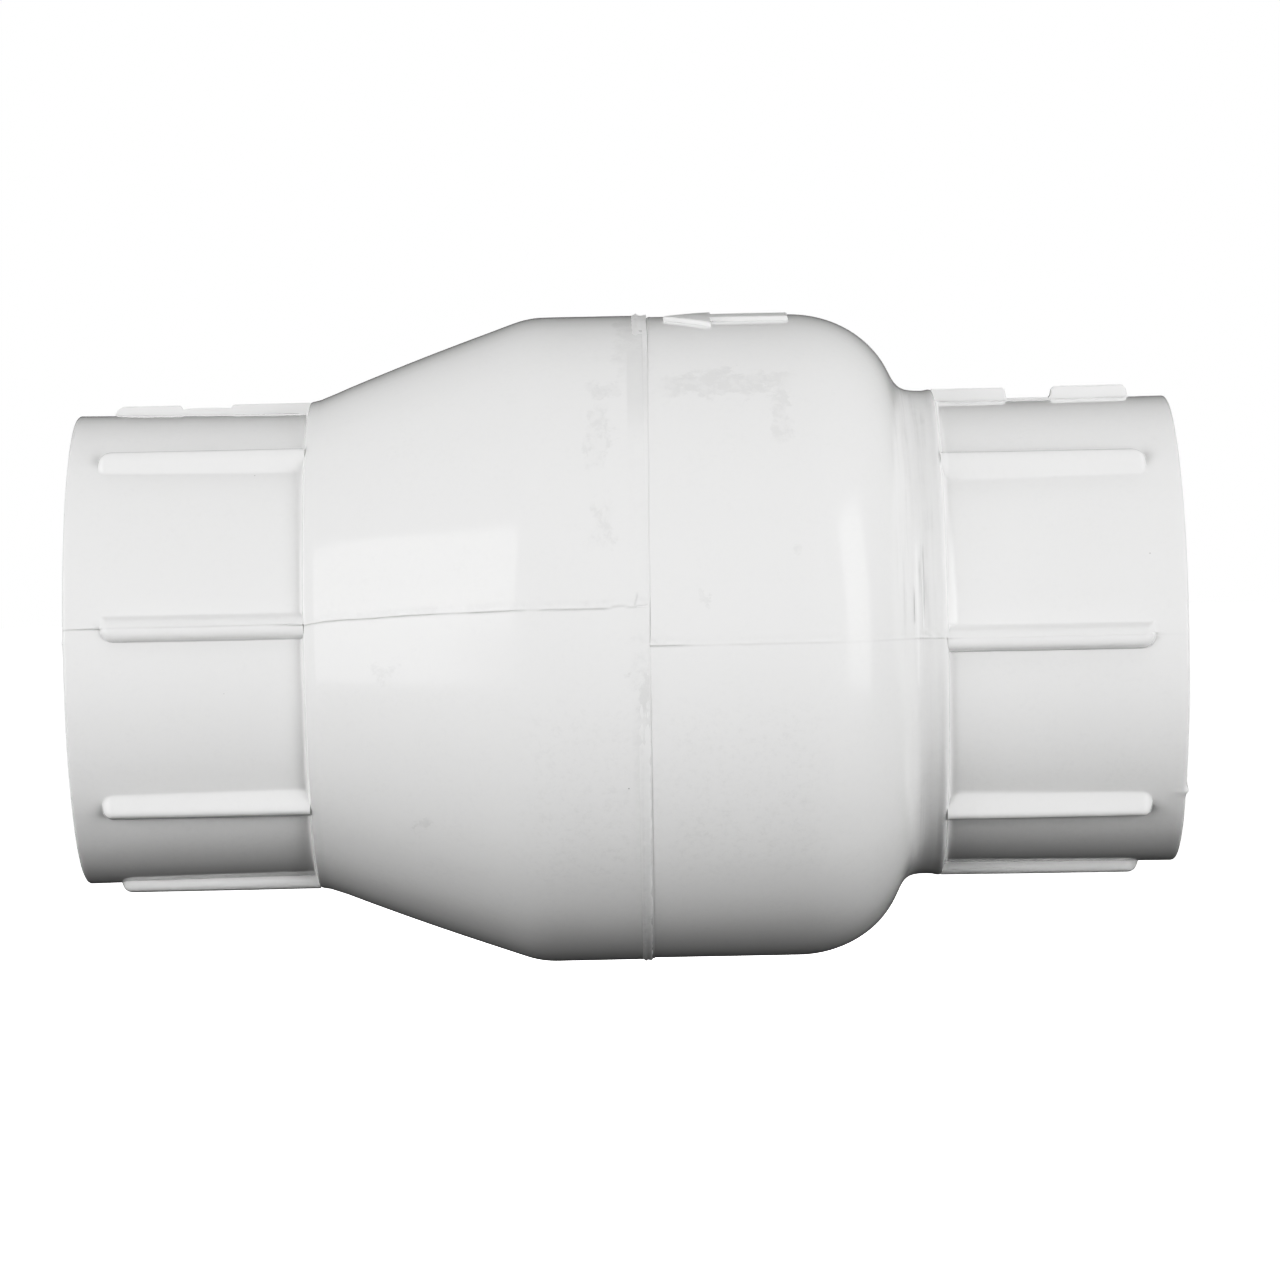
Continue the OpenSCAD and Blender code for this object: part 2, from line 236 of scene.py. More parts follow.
def parting(x, th, side):
    """Small ridge and groove where the two halves of the mould met, at 0 and 180 degrees of each shell.
    Returns the height, and masks for the painted shade in its groove and the darkening along a tear, the painted
    highlight on the ridge above it and the torn plastic there."""
    high = np.zeros_like(x)
    light = np.zeros_like(x)
    mask = np.zeros_like(x)
    torn = np.zeros_like(x)
    for k, th0 in enumerate((0.0, math.pi)):
        up = 1 if k == 0 else -1          # towards +Z along the surface
        s = wrap(th - th0) * 36 * up
        seed = 3 + 11 * side + 5 * k
        wander = 0.05 * line_noise(x / 4.5, seed) + 0.03 * line_noise(x / 0.8, seed + 1)
        strong = 0.75 + 0.4 * line_noise(x / 3.0, seed + 2)
        if side:                          # on the inlet shell it fades away from the seam
            fade = 0.30 + 0.75 * smooth(9, 5, x)
            fade = np.maximum(fade, 0.5 * smooth(35.0, 36.5, x) * smooth(41.2, 40.4, x))
            fade = fade - 0.2 * smooth(41, 42, x)
        else:                             # on the outlet shell it wanders, and is broken near the shoulder
            if k == 1:
                wander = wander + spline([-70, -45, -41.0, -39.9, -39.2, -38.2, -36, -31, -26, -21, -14, -2.0, -1.3, -0.2, 0.6, 2.8],
                                         [0, -0.05, -0.17, -0.2, -0.1, 0.02, 0.1, 0.18, 0.25, 0.22, 0.16, 0.12, 0.33, 0.38, 0.22, 0.4], x)
            fade = 1.1 - 0.6 * smooth(-12.6, -12.0, x) * smooth(-10.2, -10.8, x) - 0.1 * smooth(-8, -5, x)
            fade = fade - 0.6 * smooth(-42, -45, x) * smooth(-65.6, -64.6, x) + 0.2 * smooth(-64.6, -65.8, x)
            fade = fade - 0.5 * bell(x + 1.9, 0.35)
        strong = np.clip(strong, 0.3, 1.1) * fade
        q = s - wander
        step = 0.03 * smooth(-0.05, 0.10, q) * smooth(3.0, 0.5, q)
        torn = np.maximum(torn, 0.9 * np.clip(strong, 0, 1) * smooth(0.12, 0.25, q) * smooth(1.15, 0.7, q) * smooth(40.5, 39.5, np.abs(x)))
        curls = 0.10 * noise(np.stack([x / 0.55, s / 0.45, s * 0 + seed], -1)) * smooth(0.1, 0.4, q) * smooth(1.5, 0.9, q)
        high += strong * (0.08 * bell(q - 0.12, 0.10) - 0.12 * bell(q + 0.08, 0.11) + step + curls)
        # painted shade: the groove under the ridge is darkened
        mask = np.maximum(mask, np.clip(1.15 * strong, 0, 1) * bell(q + 0.07, 0.14))
        broken = 0.6 + 0.6 * noise(np.stack([x / 1.3, s / 0.6, s * 0 + seed + 2.5], -1))
        # painted highlight: the upper flank of the ridge is painted paler
        light = np.maximum(light, 0.5 * np.clip(strong, 0, 0.9) * np.clip(broken, 0.1, 1) * bell(q - 0.26, 0.18))
        if side == 0 and k == 1:          # a blob of flash at the tip of the front rib
            blob = bell(x + 65.6, 0.55) * bell(s - 0.1, 0.75)
            high += 0.16 * blob * (0.6 + noise(np.stack([x / 0.35, s / 0.35, s * 0 + 5.5], -1)))
        if side == 1 and k == 1:          # and a smaller one at the tip of the other front rib
            blob = bell(x - 65.9, 0.40) * bell(s - 0.1, 0.60)
            high += 0.13 * blob * (0.7 + noise(np.stack([x / 0.35, s / 0.35, s * 0 + 6.5], -1)))
        if side == 0 and k == 1:          # a tear that turns up beside the weld
            path = 1.15 + 0.35 * smooth(0.2, 1.6, s)
            tear = bell(x - path, 0.16) * smooth(0.25, 0.45, s) * smooth(2.0, 1.3, s)
            high -= 0.06 * tear
            mask = np.maximum(mask, 0.8 * tear)
    return high, mask, light, torn


def outlet_radius(x):
    """Outside radius of the outlet shell without its ribs."""
    r = spline([-69.5, -60, -50, -43.0, -41.3, -40.62, -40.42, -40.28, -40.18, -40.11, -40.06, -40.02, -39.96, -39.86, -39.7, -39.3, -38.8,
                -38.1, -37.3, -36.4, -35, -30, -25, -20, -16, -13.64],
               [30.12, 30.02, 29.92, 29.87, 29.86, 29.88, 29.94, 30.05, 30.22, 30.45, 30.75, 31.0, 31.18, 31.29, 31.35, 31.43, 31.53,
                31.77, 32.06, 32.40, 32.97, 34.92, 36.80, 38.60, 40.0, 40.826], x)
    arc = 41.5 - 12 + np.sqrt(np.clip(144 - np.clip(x + 9.67, -12, 0) ** 2, 0, None))
    return np.where(x > -13.64, np.where(x > -9.67, 41.5 - 0.11 * smooth(2.0, 2.8, x), arc), r)


def inlet_radius(x):
    """Outside radius of the inlet shell without its ribs."""
    oval = 29.0 + 12.3 * np.sqrt(np.clip(1 - (np.clip(x - 21.5, 0, 13.5) / 13.8) ** 2, 0, 1))
    rest = spline([34.0, 34.5, 35.0, 35.5, 36.0, 36.5, 37.0, 37.6, 38.3, 38.8, 39.2, 39.5, 39.67, 39.8, 39.9, 39.97, 40.03, 40.1, 40.2, 40.35,
                   40.55, 40.8, 41.2, 42.0, 50, 60, 69.5],
                  [34.21, 33.20, 32.32, 31.78, 31.46, 31.28, 31.19, 31.14, 31.13, 31.16, 31.24, 31.29, 31.26, 31.18, 31.06, 30.9, 30.62, 30.36, 30.14,
                   29.95, 29.81, 29.73, 29.68, 29.66, 29.74, 29.85, 29.95], x)
    return np.where(x < 34.0, oval, rest)


def shell_surface(side):
    """Closed outline of one shell (x, radius), how many of its points lie outside, and whether each takes the ribs."""
    if side == 0:
        rim = [(-70 + 0.5 - 0.5 * math.cos(a), 29.62 + 0.5 * math.sin(a)) for a in np.radians([0, 18, 36, 54, 72])]
        x = steps(-69.5, (-66.6, 0.6), (-65.9, 0.1), (-63.4, 0.14), (-58.2, 0.85), (-55.2, 0.2), (-52.0, 0.5), (-49.3, 0.18), (-43, 0.85), (-41.2, 0.3),
                  (-40.6, 0.15), (-40.15, 0.065), (-39.95, 0.032), (-39.6, 0.07), (-38.5, 0.16), (-36, 0.3), (-15.6, 0.54), (-8.6, 0.46),
                  (0.4, 0.6), (1.8, 0.13), (2.8, 0.25))
        outer = rim + list(zip(x, outlet_radius(x)))
        inner = [(2.8, 39.1), (5.7, 39.1), (8.6, 39.1), (8.6, 37), (4, 37), (-3, 37), (-9.5, 37), (-11.5, 36.65), (-14.5, 35.6), (-21, 33.26),
                 (-28, 30.73), (-35, 28.2), (-35.9, 26.6), (-36.6, 25.5), (-37.0, 23.5), (-37.2, 21.6), (-37.2, 21), (-40, 21), (-40, 22.6),
                 (-40, 24.2), (-43, 24.2), (-48, 24.2), (-54, 24.2), (-60, 24.2), (-66, 24.2), (-69.2, 24.2), (-69.75, 24.45), (-70, 25), (-70, 27)]
    else:
        rim = [(70 - 0.5 + 0.5 * math.cos(a), 29.45 + 0.5 * math.sin(a)) for a in np.radians([0, 18, 36, 54, 72])]
        x = steps(69.5, (66.3, 0.6), (65.5, 0.1), (63.3, 0.14), (57.8, 0.85), (53.8, 0.2), (50.6, 0.5), (48.3, 0.18), (43, 0.85), (41.5, 0.3),
                  (40.6, 0.13), (40.15, 0.065), (39.95, 0.032), (39.4, 0.07), (38.2, 0.24), (37.15, 0.15), (36.3, 0.07), (35.8, 0.10),
                  (35.35, 0.055), (33.6, 0.29), (23.5, 0.44), (20.5, 0.5), (8, 0.66), (4.0, 0.5), (3.3, 0.14), (2.8, 0.045))
        outer = rim + list(zip(x, inlet_radius(x)))
        inner = [(2.8, 39.2), (5.8, 39.2), (8.8, 39.2), (8.8, 37), (14, 37), (21.5, 37), (23, 34), (24.1, 34), (24.1, 36), (25.9, 36), (25.9, 34),
                 (28, 34), (30.5, 34), (30.5, 32), (30.5, 30), (33.6, 28.4), (35, 27), (36.2, 25.2), (37.2, 21.6), (37.2, 21), (40, 21), (40, 22.6),
                 (40, 24.2), (43, 24.2), (48, 24.2), (54, 24.2), (60, 24.2), (66, 24.2), (69.2, 24.2), (69.75, 24.45), (70, 25), (70, 27)]
    return np.array(outer), np.array(inner), len(rim)


def build_shell(side, name):
    outer, inner, n_rim = shell_surface(side)
    th = angle_lines()
    x, t = np.meshgrid(outer[:, 0], th, indexing="ij")
    base = np.repeat(outer[:, 1:2], len(th), 1)
    if side == 1:                         # the mesh lines follow the crack, and the hollow before the collar isn't quite round
        sn = np.sin(t)
        askew = 0.30 * smooth(0.8, 0.4, sn) + 0.50 * smooth(0.05, -0.35, sn) * smooth(-0.98, -0.80, sn) - 0.45 * smooth(-0.90, -1.0, sn)
        x = x + (weld_line(t) - 2.98) * smooth(7.0, 3.6, x) + askew * smooth(31.0, 35.0, x) * smooth(39.4, 37.4, x)
    ax = np.abs(x)
    sgn = -1 if side == 0 else 1
    r = base.copy()
    # the eight ribs, which end inside the cone or the collar
    top_r = (31.40 + 0.0130 * (ax - 40)) if side == 0 else (31.17 + 0.0155 * (ax - 40))
    flat = np.where(ax < 42.4, np.minimum(base, 29.87 if side == 0 else 29.66), base)
    height = top_r - flat
    near = ax > (39.99 if side == 0 else 39.93)
    painted_highlight = np.zeros_like(x)
    for k in range(4):
        d = wrap(t - k * math.pi / 2)
        s = 30.2 * np.sin(d)
        on = near & (np.abs(d) < 0.35)
        if k == 1:                        # uppermost rib: two raised lengths with a low one between them
            if side == 0:
                height = 31.43 - flat
                low = height - 0.58 + 0.20 * np.sqrt(np.clip(1 - ((ax - 53.45) / 3.1) ** 2, 0, 1))
                h = block(s, ax, 20, 65.4, np.where(ax > 50, low, height - 0.5), RIB_W, 0.75, 1.3)
                h = np.maximum(h, block(s, ax, 56.45, 65.4, height, RIB_W, 0.75, 1.3) * smooth(56.3, 56.9, ax))
                h = np.maximum(h, block(s, ax, 20, 50.55, height, RIB_W, 0.75, 0.55))
                h = np.maximum(h, block(s, ax, 56.9, 63.6, height, RIB_W, 0.75, 0.35) * (ax < 63.5))
            else:
                height = 31.33 + 0.005 * (ax - 40) - flat
                low = 0.20 + 0.09 * np.sqrt(np.clip(1 - ((ax - 52.2) / 2.9) ** 2, 0, 1))
                h = block(s, ax, 49.3, 55.3, low, 3.2, 0.75, 0.18)
                h = np.maximum(h, block(s, ax, 20, 49.45, height, RIB_W, 0.75, 0.6))
                worn = 0.09 * np.clip(noise(np.stack([x / 0.9, s / 0.5, s * 0 + 7.7], -1)), 0, 1)
                h = np.maximum(h, block(s, ax, 55.25, 65.0, height + 0.05 - worn, RIB_W, 0.75, 0.8))
            # painted highlight: the faces of the uppermost rib are painted paler, standing in for the light they catch
            painted_highlight = np.maximum(painted_highlight, smooth(0.08, 0.25, h) * on)
        else:
            tip = {0: (65.3, 65.7), 2: (65.3, 65.7), 3: (65.5, 65.4)}[k][side]
            h = pill(s, ax, 20, tip, height, edge=1.3)
            if k in (0, 2):               # the two halves of the mould made the upper half of these ribs a little lower
                above = s * (1 if k == 0 else -1)
                slope = np.clip(above / 1.7, 0, 1) ** 1.2
                rim = np.minimum(tip - ax, RIB_W / 2 - np.abs(s))
                flatter = (height - 0.12) * (1 - 0.80 * slope) * smooth(-0.25, 0.85, rim)
                h = h + (flatter - h) * smooth(-0.02, 0.12, above)
        r = np.where(on, np.maximum(r, smax(base, flat + h, 0.12) - 0.0), r)
    tip = 66.1 if side == 0 else 65.75
    c = corner_rib(t, ax, flat, tip)
    r = np.where(near, smax(r, np.where(near, c, 0), 0.14), r)
    sin = np.sin(t)
    # painted shade: a soft dark spot at the foot of each corner rib's tip, stronger on the upper ribs, added to the
    # darkening mask below
    shade = bell(ax - tip - 0.10, 0.65) * bell(np.abs(sin) * 30.3 - 22.3, 0.95) * (0.35 + 0.30 * (sin > 0))
    # slow unevenness of the moulding, and sink marks over the thick middle
    p = np.stack([x, base * np.cos(t), base * np.sin(t)], -1)
    r += 0.03 * noise(p / 19 + 3 * side) + 0.005 * noise(p / 6.5 + 9)
    # the parting line
    ridge, dirt_and_shade, light, torn = parting(x, t, side)
    painted_highlight = np.maximum(painted_highlight, light)
    dirt_and_shade = np.maximum(dirt_and_shade, shade)
    r += ridge * (1 - 0.5 * smooth(69.0, 69.6, ax))
    if side == 1:                         # crack along the weld, and turning marks of the mould near the collar
        at = weld_line(t)
        open_, _ = crack_strength(t)
        line = bell(x - at - 0.06, 0.06)
        r += 0.03 * open_ * bell(x - at - 0.40, 0.18) - (0.02 + 0.10 * open_) * line - 0.15 * smooth(at - 0.03, at - 0.12, x)
        # painted shade: the crack along the weld is darkened
        dirt_and_shade = np.maximum(dirt_and_shade, (0.20 + 0.75 * open_) * line)
        for at, deep, wide, seed in ((35.76, -0.030, 0.07, 3), (36.0, 0.018, 0.10, 4), (36.46, -0.020, 0.06, 5), (36.62, 0.022, 0.07, 6),
                                     (36.92, 0.016, 0.06, 7), (37.12, -0.012, 0.06, 8), (34.6, 0.015, 0.35, 9), (39.3, 0.015, 0.1, 10)):
            r += deep * bell(x - at - 0.10 * line_noise(t * 1.7, seed), wide) * np.clip(0.45 + 1.1 * line_noise(t * 3.3, seed + 7), 0, 1)
        s = -wrap(t - math.pi) * 31.4
        for at, deep, wide, lo, hi in ((35.78, -0.085, 0.07, 1.9, 6.0), (36.55, -0.055, 0.07, 6.5, 9.9), (36.85, 0.055, 0.08, 1.4, 9.0),
                                       (37.05, -0.040, 0.07, 3.0, 12.0), (36.2, 0.035, 0.10, -6.0, 12.0), (37.8, 0.020, 0.14, 2.0, 17.0),
                                       (38.6, -0.015, 0.14, -9.0, 11.0), (34.2, -0.012, 0.35, -14.0, 16.0)):
            along = smooth(lo - 0.5, lo + 0.5, s) * smooth(hi + 0.5, hi - 0.5, s)
            r += deep * bell(x - at - 0.03 * s / 8, wide) * along
            # painted shade in the deeper grooves and painted highlight on the higher ridges
            if deep < -0.03:
                dirt_and_shade = np.maximum(dirt_and_shade, bell(x - at - 0.03 * s / 8, 0.12) * along)
            elif deep > 0.03:
                painted_highlight = np.maximum(painted_highlight, 0.6 * bell(x - at - 0.03 * s / 8, 0.12) * along)
        # a strip of plastic left beside the collar, widest next to the front rib
        wide = (0.30 + 0.10 * smooth(0, 2, s) + 0.30 * smooth(46, 26, s) * smooth(22, 24, s)
                + 0.85 * smooth(23, 4, s) * smooth(1.2, 2.0, s) + 0.10 * line_noise(t * 7, 61))
        strip = np.where(ax > 39.99, 29.68 + 0.60 * (40.0 + wide - x), 0)
        r = np.where(ax > 39.99, smax(r, strip, 0.10), r)
        # painted highlight along the strip
        painted_highlight = np.maximum(painted_highlight, 0.6 * smooth(0.25, -0.05, x - 40.0 - wide) * smooth(39.7, 39.85, x) * smooth(1.2, 1.9, s) * smooth(48, 40, s))
        blobs = noise(np.stack([x / 0.55, s / 0.5, s * 0 + 3.3], -1)) * smooth(35.2, 35.8, x) * smooth(38.8, 38.2, x)
        r += 0.05 * np.clip(blobs - 0.15, 0, 1) * smooth(-0.2, 0.2, s) * smooth(1.6, 0.9, s)
    else:                                 # fine lines round the start of the cone
        for at, deep, wide, seed in ((-39.35, -0.014, 0.10, 3), (-39.05, 0.012, 0.10, 4), (-38.6, -0.010, 0.13, 5), (-41.0, -0.01, 0.15, 6)):
            r += deep * bell(x - at, wide) * np.clip(0.55 + 1.0 * line_noise(t * 4.1, seed + 7), 0, 1)
    xx = x.copy()
    # a small tear of plastic at the rim where the mould closed
    if side == 1:
        for th0, size in ((math.radians(180 + 42.2), 1.0), (math.radians(61), 0.6)):
            b = bell(wrap(t - th0) * 30, 0.55) * smooth(68.4, 69.6, ax) * size
            r += 0.14 * b
            xx += sgn * 0.30 * b * smooth(69.0, 69.9, ax)
    else:
        for th0, size in ((math.radians(183.0), 0.7), (math.radians(-2), 0.6)):
            b = bell(wrap(t - th0) * 30, 0.5) * smooth(68.6, 69.6, ax) * size
            r += 0.10 * b
            xx += sgn * 0.16 * b * smooth(69.0, 69.9, ax)
    # the rim is not turned, so it waves a little
    rim_wave = 0.05 * line_noise(th * 2.6, 5 + side)[None, :] + 0.02 * line_noise(th * 9, 8 + side)[None, :]
    xx += sgn * rim_wave * smooth(68.9, 70, ax)
    # scraped band beside the weld: shallow unevenness where molten plastic ran
    if side == 0:
        band = smooth(0.2, 1.0, x)
    else:
        band = smooth(4.6, 3.4, x) * 0.5
    r += band * (0.02 * noise(p / np.array([0.9, 2.4, 2.4]) + 21) + 0.012 * noise(p / 0.8 + 31))
    sin = np.sin(t)
    scuff = band * (0.15 + 0.85 * smooth(0.62, 0.80, sin) + 0.55 * smooth(-0.02, -0.10, sin) * smooth(-0.75, -0.45, sin))
    scuff = np.maximum(scuff, torn)
    if side == 0:                         # the scraped band is greyer high up on the front
        dirt_and_shade = np.maximum(dirt_and_shade, 0.40 * smooth(0.62, 0.85, x) * smooth(0.49, 0.66, sin) * smooth(0.855, 0.81, sin))
    # the wide middle sits a tenth of a millimetre higher than the sockets
    lift = 0.10 * smooth(41, 35, ax) - 0.03 * smooth(42, 50, ax)
    outer_pts = np.stack([xx, r * np.cos(t), r * np.sin(t) + lift], -1)
    xi, ti = np.meshgrid(inner[:, 0], th, indexing="ij")
    ri = np.repeat(inner[:, 1:2], len(th), 1)
    end = np.abs(np.abs(xi) - 70) < 0.01
    xi = xi + sgn * np.where(end, rim_wave * np.clip((ri - 24.8) / 3, 0, 1), 0)
    inner_pts = np.stack([xi, ri * np.cos(ti), ri * np.sin(ti)], -1)
    pts = np.concatenate([outer_pts, inner_pts], 0)
    if side == 0:
        cz, sz = math.cos(TWIST), math.sin(TWIST)
        y, z = pts[..., 1].copy(), pts[..., 2].copy()
        pts[..., 1], pts[..., 2] = y * cz - z * sz, y * sz + z * cz
    zero = np.zeros(inner_pts.shape[:2])
    obj = closed_grid(name, pts * MM, {
        "dirt_and_shade": np.concatenate([dirt_and_shade, zero], 0),
        "scuff": np.concatenate([scuff, zero], 0),
        "painted_highlight": np.concatenate([painted_highlight, zero], 0),
    })
    return obj


outlet = build_shell(0, "outlet_shell_skin")
inlet = build_shell(1, "inlet_shell_skin")


# ---------------------------------------------------------------- raised arrow, moulded on the inlet shell
def build_arrow():
    """Closed plate with rounded edges, bent round the shell, its foot sunk into the wall."""
    plan = [(5.5, 0.4), (5.5, -0.4), (11.6, -4.6), (11.6, -1.7), (21.4, -1.7), (21.4, 1.7), (11.6, 1.7), (11.6, 4.6)]
    bm = bmesh.new()
    face = bm.faces.new([bm.verts.new((px, py, 0)) for px, py in plan])
    bm.normal_update()
    if face.normal.z > 0:
        face.normal_flip()
    made = bmesh.ops.extrude_face_region(bm, geom=[face])
    top = [v for v in made["geom"] if isinstance(v, bmesh.types.BMVert)]
    bmesh.ops.translate(bm, verts=top, vec=(0, 0, 1.5))
    upright = [e for e in bm.edges if abs(e.verts[0].co.z - e.verts[1].co.z) > 1]
    bmesh.ops.bevel(bm, geom=upright, offset=0.2, segments=4, profile=0.5, affect="EDGES")
    bmesh.ops.recalc_face_normals(bm, faces=bm.faces[:])
    rims = [e for e in bm.edges if all(v.co.z > 1.4 for v in e.verts) and len([f for f in e.link_faces if f.normal.z < 0.5]) == 1]
    bmesh.ops.bevel(bm, geom=rims, offset=0.28, segments=3, profile=0.5, affect="EDGES")
    bmesh.ops.remove_doubles(bm, verts=bm.verts[:], dist=0.004)
    bmesh.ops.dissolve_degenerate(bm, dist=0.004, edges=bm.edges[:])
    for at in np.arange(-4.2, 4.3, 0.6):
        bmesh.ops.bisect_plane(bm, geom=bm.verts[:] + bm.edges[:] + bm.faces[:], plane_co=(0, at, 0), plane_no=(0, 1, 0))
    for at in np.arange(6.0, 21.3, 0.8):
        bmesh.ops.bisect_plane(bm, geom=bm.verts[:] + bm.edges[:] + bm.faces[:], plane_co=(at, 0, 0), plane_no=(1, 0, 0))
    bmesh.ops.remove_doubles(bm, verts=bm.verts[:], dist=0.004)
    bmesh.ops.dissolve_degenerate(bm, dist=0.004, edges=bm.edges[:])
    middle = math.radians(180 - 80)
    for v in bm.verts:
        px, py, h = v.co
        side_r = float(inlet_radius(np.array([px]))[0])
        rad = side_r - 0.9 + h
        rad += 0.02 * float(noise(np.array([px / 2.0, py / 2.0, 4.4]))) * (h > 1)
        ang = middle + py / 41.3
        v.co = (px * MM, rad * math.cos(ang) * MM, rad * math.sin(ang) * MM)
    if bm.calc_volume(signed=True) < 0:   # bending it round the shell turned it inside out
        bmesh.ops.reverse_faces(bm, faces=bm.faces[:])
    mesh = bpy.data.meshes.new("flow_arrow")
    bm.to_mesh(mesh)
    bm.free()
    mesh.polygons.foreach_set("use_smooth", np.ones(len(mesh.polygons), bool))
    mesh.set_sharp_from_angle(angle=math.radians(50))
    obj = bpy.data.objects.new("flow_arrow", mesh)
    bpy.context.scene.collection.objects.link(obj)
    return obj


arrow = build_arrow()


# ---------------------------------------------------------------- weld flash
def build_flash():
    """Bead of plastic squeezed out of the seam and scraped nearly flush: a thin lip on each side, and lumps where it was missed."""
    n = 1100
    th = np.linspace(0, 2 * math.pi, n, endpoint=False)
    part = np.array([0.0, 0.16, 0.26, 0.33, 0.38, 0.43, 0.5, 0.58, 0.66, 0.74, 0.81, 0.87, 0.915, 0.95, 0.98, 1.0, 1.0, 0.55, 0.0])
    low_lip = np.array([0.0, 0.1, 0.45, 0.9, 1.0, 0.6, 0.25, 0.2, 0.2, 0.2, 0.25, 0.3, 0.3, 0.2, 0.1, 0, 0, 0, 0])
    high_lip = np.array([0.0, 0.05, 0.06, 0.08, 0.1, 0.1, 0.1, 0.12, 0.2, 0.35, 0.55, 0.8, 1.0, 0.95, 0.6, 0, 0, 0, 0])
    skin = np.array([0, 0, 0.5, 1, 1, 1, 1, 1, 1, 1, 1, 1, 1, 1, 0.8, 0, 0, 0, 0])[:, None]
    u, t = np.meshgrid(part, th, indexing="ij")
    left = 1.15 + 0.12 * line_noise(th * 6, 31)[None, :]
    x = left + u * (weld_line(t) - left)
    ring = np.stack([np.cos(t), np.sin(t)], -1) * 41.4
    p = np.stack([x, ring[..., 0], ring[..., 1]], -1)
    slow = noise(p / np.array([40.0, 11, 11]) + 2)
    fine = noise(p / np.array([0.7, 1.3, 1.3]) + 17)
    finer = noise(p / np.array([0.35, 0.5, 0.5]) + 27)
    below = smooth(0.05, -0.45, np.sin(t))
    crest = smooth(0.90, 0.985, np.sin(t))
    deep = smooth(-0.86, -0.99, np.sin(t))
    rough = np.clip(0.25 + 0.5 * below + 0.9 * crest + 0.6 * deep + 0.3 * slow, 0.1, 1.6)
    shown = np.clip(below + crest, 0, 1)
    _, stand = crack_strength(t)
    h = low_lip[:, None] * (0.035 * below + 0.07 * crest + 0.05 * deep) + high_lip[:, None] * (0.055 * stand + 0.03 * crest)
    body = np.clip(low_lip + high_lip, 0, 1)[:, None]
    h = h * (1 + 0.5 * fine) + skin * rough * (0.012 * fine + 0.010 * finer)
    h = h - 0.06 * (1 - shown) * smooth(0.95, 0.7, u)
    for at, size, wide in ((-90.0, 0.20, 1.3), (-88.4, 0.14, 0.8), (-92.4, 0.12, 0.8), (-62, 0.06, 0.9), (-128, 0.05, 1.0), (88, 0.10, 1.1),
                           (91.6, 0.09, 0.8), (28, 0.06, 1.4), (-14, 0.05, 1.0)):
        d = wrap(t - math.radians(at)) * 41.4
        h += size * bell(d, wide * 0.75) * body * (1 + 0.5 * fine + 0.4 * finer)
    # a crease where the scraper skipped, low on the front
    s = wrap(t - math.pi) * 41.4
    crease = bell(x - (1.75 + 0.85 * smooth(5.6, 4.0, s)), 0.13) * smooth(3.6, 4.0, s) * smooth(5.9, 5.5, s)
    h -= 0.06 * crease
    calm = smooth(0.15, 0.35, np.sin(t)) * smooth(0.97, 0.90, np.sin(t))
    floor_r = 41.505 - 0.11 * smooth(2.0, 2.8, x) - 0.09 * (1 - 0.75 * calm) * smooth(0.75, 1.0, u)
    r = floor_r + h
    r[0] = floor_r[0] - 0.12
    r[15] = floor_r[15] - 0.15
    r[16:] = 41.0
    lift = 0.10
    xx = x + body * (0.02 * fine)
    pts = np.stack([xx, r * np.cos(t), r * np.sin(t) + lift], -1) * MM
    grey = 0.42 * smooth(0.58, 0.74, np.sin(t)) * smooth(0.905, 0.87, np.sin(t)) * np.clip(0.85 + 0.5 * slow + 0.3 * fine, 0, 1)
    # painted highlight on the high lip, below the middle of the bead
    lip = np.clip(high_lip - 0.2, 0, 0.8)[:, None] / 0.8 * smooth(-0.08, -0.2, np.sin(t)) * np.clip(0.75 + 0.4 * fine, 0, 1)
    return closed_grid("weld_bead", pts, {"scuff": np.clip(body * rough, 0, 1), "dirt_and_shade": np.maximum(crease, grey * skin), "painted_highlight": 0.7 * lip}, sharp=70)


flash = build_flash()

for piece, node, slot in ((outlet, "outlet_shell", "white_pvc_outlet"), (inlet, "inlet_shell", "white_pvc_inlet"),
                          (flash, "weld_flash", "weld_pvc")):
    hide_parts(node)
    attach(piece, "root")
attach(arrow, "root")


